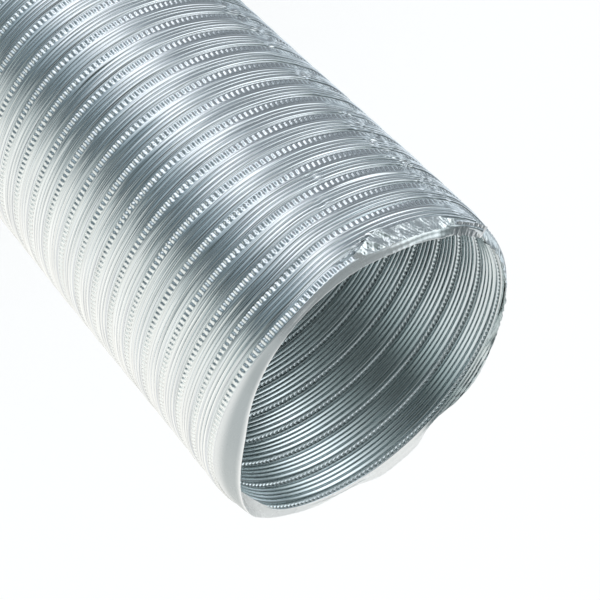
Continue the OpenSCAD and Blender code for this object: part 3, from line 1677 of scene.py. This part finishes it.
@dataclass
class CrushedTab:
    """A crushed bit of foil at the strip's end, which lies over the first row of knurls.

    Each station is an angle in degrees and the tab's lower and upper height over the mouth's
    middle in millimetres; bulge, crumple and rag are in millimetres too.
    """

    strip: Strip
    finish: bpy.types.Material
    name: str
    foot_r: float
    head_r: float
    bulge: float
    crumple: float
    stations: tuple[Triple, ...]
    sheet: float = 0.12 * MM
    columns: int = 150
    rows: int = 24
    slot: Slot = Slot.RIM
    end_fade: float = 3.0
    bulged: Window = Window(-124.0, 10.0)
    rag: float = 0.35
    rag_rate: float = 2.0
    rag_facets: Facets = Facets(seed=31)
    flat_ends: float = 0.4
    coarse_rate: float = 1.2
    coarse_facets: Facets = Facets(seed=41)
    fine_crumple: float = 0.35
    fine_rate: float = 3.1
    fine_facets: Facets = Facets(seed=43)

    @classmethod
    def torn(cls, strip: Strip, finish: bpy.types.Material) -> "CrushedTab":
        """The torn tab that hangs down over the knurls.

        Args:
            strip: the strip that it is torn from.
            finish: its material.

        Returns:
            The tab, not yet built.
        """
        return cls(
            strip,
            finish,
            name="torn_tab",
            foot_r=66.1 * MM,
            head_r=67.8 * MM,
            bulge=0.5,
            crumple=0.34,
            stations=(
                (-145.5, -0.6, 0.6),
                (-143.0, -1.2, 1.0),
                (-139.5, -2.6, 1.5),
                (-134.0, -3.6, 1.7),
                (-128.0, -3.4, 1.6),
                (-123.0, -4.0, 1.4),
                (-118.5, -4.9, 1.2),
                (-115.0, -3.9, 0.9),
                (-111.5, -1.9, 0.2),
                (-109.0, -1.4, -0.6),
            ),
        )

    @classmethod
    def folded_tip(cls, strip: Strip, finish: bpy.types.Material) -> "CrushedTab":
        """The strip's tip, folded in over the band.

        Args:
            strip: the strip whose tip it is.
            finish: its material.

        Returns:
            The tip, not yet built.
        """
        return cls(
            strip,
            finish,
            name="tip_fold",
            foot_r=62.8 * MM,
            head_r=67.2 * MM,
            bulge=0.0,
            crumple=0.15,
            stations=(
                (-162.0, 0.6, 1.1),
                (-159.5, 0.3, 1.7),
                (-156.0, 0.4, 2.0),
                (-151.0, 0.5, 2.1),
                (-146.0, 0.2, 1.9),
            ),
        )

    def build(self) -> bpy.types.Object:
        """Models the tab.

        Returns:
            The tab, riding on the last section.
        """
        deselect_all()
        bpy.ops.mesh.primitive_grid_add(x_subdivisions=self.columns, y_subdivisions=self.rows, size=2.0)
        tab = bpy.context.object
        tab.name = self.name
        self._lay(tab.data)
        thick = tab.modifiers.new("sheet", "SOLIDIFY")
        thick.thickness = self.sheet
        thick.offset = 1.0
        apply_modifier(tab, thick)
        bpy.ops.object.shade_smooth_by_angle(angle=SHARP_EDGE)
        tab.data.materials.append(self.finish)
        ride_on(tab, self.strip.top_section)
        return tab

    def _lay(self, mesh: bpy.types.Mesh) -> None:
        """Lays the flat sheet over the first row of knurls and crumples it.

        Args:
            mesh: the flat sheet, from -1 to 1 in x and y.
        """
        place = places(mesh)
        knots, lowers, uppers = zip(*self.stations)
        low, high = knots[0], knots[-1]
        angle = low + (high - low) * (place[:, 0] + 1.0) / 2.0
        share = (place[:, 1] + 1.0) / 2.0
        lower, upper = np.interp(angle, knots, lowers), np.interp(angle, knots, uppers)
        along = np.radians(angle) * self.head_r / MM
        ragged = self.rag * self.rag_facets(along * self.rag_rate)
        up = lower + (upper - lower) * share + ragged * (share - 0.5)
        ends = Window(low, self.end_fade, high, self.end_fade)(angle)
        r = self.head_r / MM + (self.foot_r - self.head_r) / MM * share
        r = r + self.bulge * self.bulged(angle) * (1.0 - share) * ends
        coarse = self.coarse_facets(along * self.coarse_rate, up * self.coarse_rate)
        r = r + self.crumple * (self.flat_ends + (1.0 - self.flat_ends) * ends) * coarse
        fine = self.fine_facets(along * self.fine_rate, up * self.fine_rate)
        r = r + self.fine_crumple * self.crumple * fine
        theta = np.radians(angle)
        rows = np.stack([r * np.cos(theta), r * np.sin(theta), up + self.strip.mouth_z / MM], axis=1)
        move_to(mesh, rows * MM)
        mark(mesh, STRIP_PLACE, along * MM, up * MM, np.ones(len(up)))
        mesh.update()


# ---------------------------------------------------------------- the studio


@dataclass(frozen=True)
class Studio:
    """A pale floor, soft light and the camera."""

    strip: Strip
    lens_mm: float = 87.37
    sensor_mm: float = 36.0
    clip_start: float = 0.01
    eye_back: float = 458.2 * MM
    eye_over_mouth: float = 241.8 * MM
    right: Triple = (-0.7270, 0.3622, 0.5833)
    up: Triple = (-0.6866, -0.3835, -0.6176)
    back: Triple = (0.0, -0.8495, 0.5275)
    floor_size: float = 12.0
    floor_colour: Triple = (0.90, 0.90, 0.90)
    floor_roughness: float = 0.8
    floor_lift: float = 0.14
    sky: Triple = (0.95, 0.97, 0.98)

    def build(self) -> None:
        """Builds the floor, the light and the camera."""
        self._camera()
        self._floor()
        self._light()

    def _camera(self) -> None:
        """Places the camera over the mouth's near side."""
        data = bpy.data.cameras.new("camera")
        data.lens = self.lens_mm
        data.sensor_width = self.sensor_mm
        data.clip_start = self.clip_start
        camera = bpy.data.objects.new("camera", data)
        bpy.context.collection.objects.link(camera)
        height = self.strip.mouth_z + self.eye_over_mouth
        turn = Matrix((self.right, self.up, self.back)).transposed().to_4x4()
        camera.matrix_world = Matrix.Translation((0.0, -self.eye_back, height)) @ turn
        bpy.context.scene.camera = camera

    def _floor(self) -> None:
        """Lays the pale floor, which keeps the duct's shadow."""
        deselect_all()
        bpy.ops.mesh.primitive_plane_add(size=self.floor_size)
        floor = bpy.context.object
        floor.name = "floor"
        board = Board("floor")
        path = board.add("LightPath", "Is Camera Ray").node.outputs
        seen = path["Is Camera Ray"]
        for kind in ("Is Glossy Ray", "Is Transmission Ray"):
            seen = board.maths("MAXIMUM", seen, path[kind])
        surface = {
            "Base Color": rgba(self.floor_colour),
            "Roughness": self.floor_roughness,
            "Specular IOR Level": 0.0,
            "Emission Color": (1.0, 1.0, 1.0, 1.0),
            "Emission Strength": board.maths("MULTIPLY", seen, self.floor_lift),
        }
        board.feed(board.shader, surface)
        floor.data.materials.append(board.material)

    def _light(self) -> None:
        """Lights the room softly."""
        world = bpy.data.worlds.new("studio")
        bpy.context.scene.world = world
        world.use_nodes = True
        shade = world.node_tree.nodes["Background"]
        shade.inputs["Color"].default_value = rgba(self.sky)
        shade.inputs["Strength"].default_value = 1.0


def hide_from_camera(obj: bpy.types.Object) -> None:
    """Lets only the foil's reflections see an object."""
    obj.visible_camera = obj.visible_diffuse = obj.visible_shadow = False
    obj.visible_transmission = obj.visible_volume_scatter = False


@dataclass(frozen=True)
class DarkCard:
    """A dark card on a slope, which the crumpled lip on the duct's left side mirrors."""

    azimuth: float = math.radians(110.0)
    half_width: float = math.radians(12.0)
    near_r: float = 0.90
    far_r: float = 1.38
    flap: float = 0.1
    lift: float = 0.01
    top: float = 0.30
    colour: Triple = (0.8, 1.0, 1.15)
    level: float = 0.07

    def build(self) -> None:
        """Models the card: the outer edge of a plane is drawn out and lifted."""
        deselect_all()
        bpy.ops.mesh.primitive_plane_add(size=1.0)
        card = bpy.context.object
        card.name = "dark_card"
        wide = self.near_r * math.tan(self.half_width)
        edit(card)
        bpy.ops.transform.resize(value=(self.flap, 2.0 * wide, 1.0))
        bpy.ops.transform.translate(value=(self.near_r, 0.0, self.lift))
        close_edit()
        edit(card, lambda place: place.x > self.near_r)
        bpy.ops.mesh.extrude_region_move(
            TRANSFORM_OT_translate={"value": (self.far_r - self.near_r, 0.0, self.top)}
        )
        centre = (self.far_r, 0.0, self.top)
        bpy.ops.transform.resize(value=(1.0, self.far_r / self.near_r, 1.0), center_override=centre)
        close_edit()
        card.data.transform(Matrix.Rotation(self.azimuth, 4, "Z"))
        board = Board("dark_card")
        board.glow(rgba(self.colour, self.level))
        card.data.materials.append(board.material)
        hide_from_camera(card)


@dataclass(frozen=True)
class Panel:
    """One reflector of the light tent, its azimuth in degrees."""

    azimuth: float
    level: float
    tint: Triple = (1.0, 1.0, 1.0)


@dataclass(frozen=True)
class LightTent:
    """Pale and grey reflectors all round the duct, which the foil mirrors as lengthwise bands."""

    inner_r: float = 80.0 * MM
    outer_r: float = 1.5
    sides: int = 96
    height: float = 2.4
    lift: float = 1.0 * MM
    top_share: float = 0.01
    upper_from: float = 0.45
    upper_full: float = 0.80
    top_fade: float = 0.5
    ceiling: Triple = (0.30, 0.32, 0.33)
    lower: tuple[Panel, ...] = (
        Panel(-180.0, 0.31, (0.90, 1.0, 1.09)),
        Panel(-150.0, 0.28, (0.89, 1.0, 1.10)),
        Panel(-140.0, 0.36, (0.88, 1.0, 1.12)),
        Panel(-129.0, 0.78, (0.93, 1.0, 1.08)),
        Panel(-118.0, 1.31, (0.97, 1.0, 1.05)),
        Panel(-107.0, 1.24, (0.96, 1.0, 1.06)),
        Panel(-92.0, 0.65, (0.86, 1.0, 1.10)),
        Panel(-82.0, 0.41, (0.80, 1.0, 1.12)),
        Panel(-70.0, 0.225, (0.76, 1.0, 1.12)),
        Panel(-58.0, 0.19, (0.82, 1.0, 1.08)),
        Panel(-45.0, 0.62, (0.92, 1.0, 1.00)),
        Panel(-30.0, 0.93, (0.97, 1.0, 0.96)),
        Panel(-5.0, 1.09, (1.0, 1.0, 0.96)),
        Panel(30.0, 1.12, (1.02, 1.0, 0.95)),
        Panel(60.0, 1.00, (1.01, 1.0, 0.96)),
        Panel(80.0, 0.98, (1.01, 1.0, 0.97)),
        Panel(93.0, 1.25, (1.0, 1.0, 0.99)),
        Panel(104.0, 1.38),
        Panel(114.0, 1.36, (0.98, 1.0, 1.02)),
        Panel(122.0, 0.88, (0.92, 1.0, 1.06)),
        Panel(140.0, 0.90, (0.90, 1.0, 1.08)),
        Panel(155.0, 0.49, (0.86, 1.0, 1.10)),
        Panel(168.0, 0.37, (0.88, 1.0, 1.09)),
    )
    upper: tuple[Panel, ...] = (
        Panel(-180.0, 1.45, (0.95, 1.0, 1.04)),
        Panel(-155.0, 1.60, (0.94, 1.0, 1.04)),
        Panel(-132.0, 0.66, (0.90, 1.0, 1.03)),
        Panel(-112.0, 0.22, (0.80, 1.0, 1.01)),
        Panel(-90.0, 0.05, (0.76, 1.0, 1.0)),
        Panel(-70.0, 0.08, (0.76, 1.0, 1.0)),
        Panel(-50.0, 0.50, (0.84, 1.0, 1.0)),
        Panel(-25.0, 0.94, (0.97, 1.0, 1.0)),
        Panel(10.0, 0.88),
        Panel(40.0, 0.86),
        Panel(80.0, 0.78, (1.0, 1.0, 1.01)),
        Panel(108.0, 0.78, (0.98, 1.0, 1.02)),
        Panel(126.0, 0.22, (0.88, 1.0, 1.04)),
        Panel(140.0, 0.13, (0.84, 1.0, 1.06)),
        Panel(155.0, 0.18, (0.84, 1.0, 1.05)),
        Panel(168.0, 0.80, (0.88, 1.0, 1.03)),
    )

    def build(self) -> None:
        """Models the tent: a ring on the floor, the wall round it and the top, seen by the foil."""
        deselect_all()
        bpy.ops.mesh.primitive_circle_add(vertices=self.sides, radius=self.inner_r)
        tent = bpy.context.object
        tent.name = "light_tent"
        edit(tent)
        bpy.ops.transform.translate(value=(0.0, 0.0, self.lift))
        bpy.ops.mesh.select_mode(type="EDGE")
        self._step_out(self.outer_r / self.inner_r, self.lift)
        bpy.ops.mesh.extrude_edges_move(TRANSFORM_OT_translate={"value": (0.0, 0.0, self.height)})
        self._step_out(self.top_share, self.height + self.lift)
        bpy.ops.mesh.edge_face_add()
        close_edit()
        tent.data.materials.append(self._material())
        hide_from_camera(tent)

    @staticmethod
    def _step_out(grow: float, height: float) -> None:
        """Extrudes the selected ring of edges and scales it about the axis."""
        bpy.ops.mesh.extrude_edges_move()
        bpy.ops.transform.resize(value=(grow, grow, 1.0), center_override=(0.0, 0.0, height))

    def _material(self) -> bpy.types.Material:
        """Builds the reflectors' material, graded from panel to panel round the duct.

        Returns:
            The material.
        """
        board = Board("light_tent")
        place = board.add("TexCoord", "Object")
        turn = board.add("TexGradient", "Color", {"Vector": place}, gradient_type="RADIAL")
        z = board.parts(place)[2]
        upward = board.scale(z, (0.0, 1.0), (self.upper_from, self.upper_full), "SMOOTHSTEP")
        walls = board.mix(upward, self._ramp(board, turn, self.lower), self._ramp(board, turn, self.upper))
        near_top = board.scale(z, (0.0, 1.0), (self.height - self.top_fade, self.height), "SMOOTHSTEP")
        board.glow(board.mix(near_top, walls, rgba(self.ceiling)))
        return board.material

    @staticmethod
    def _ramp(board: Board, turn: Socket, panels: tuple[Panel, ...]) -> Socket:
        """Adds a colour ramp through a row of panels round the duct.

        Args:
            board: the material's nodes.
            turn: the share of a turn round the duct.
            panels: the panels, from half a turn back to half a turn on.

        Returns:
            The colour.
        """
        colour = board.add("ValToRGB", "Color", {"Fac": turn})
        stops = colour.node.color_ramp.elements
        stops[1].position = 1.0
        for panel in panels[1:]:
            stops.new(panel.azimuth / 360.0 + 0.5)
        for stop, panel in zip(stops, (*panels, panels[0])):
            stop.color = rgba(panel.tint, panel.level)
        return colour


def main() -> None:
    """Builds the duct and the studio round it."""
    logging.basicConfig(level=logging.INFO, format="%(message)s")
    bpy.context.scene.view_settings.view_transform = "Standard"
    strip = Strip.from_frame()
    Studio(strip).build()
    LightTent().build()
    DarkCard().build()
    section = FoldSection(strip)
    handling = Handling(strip, section.grooves)
    wall_foil, band_foil = FOLDED_FOIL.material(), BAND_FOIL.material()
    pieces = WoundWall(strip, section, handling, wall_foil).build()
    pieces.append(MouthBand(strip, handling, band_foil).build())
    pieces.append(CrushedTab.torn(strip, band_foil).build())
    pieces.append(CrushedTab.folded_tip(strip, wall_foil).build())
    for piece in pieces:
        log.info("%s: %d faces", piece.name, len(piece.data.polygons))


if __name__ == "__main__":
    main()
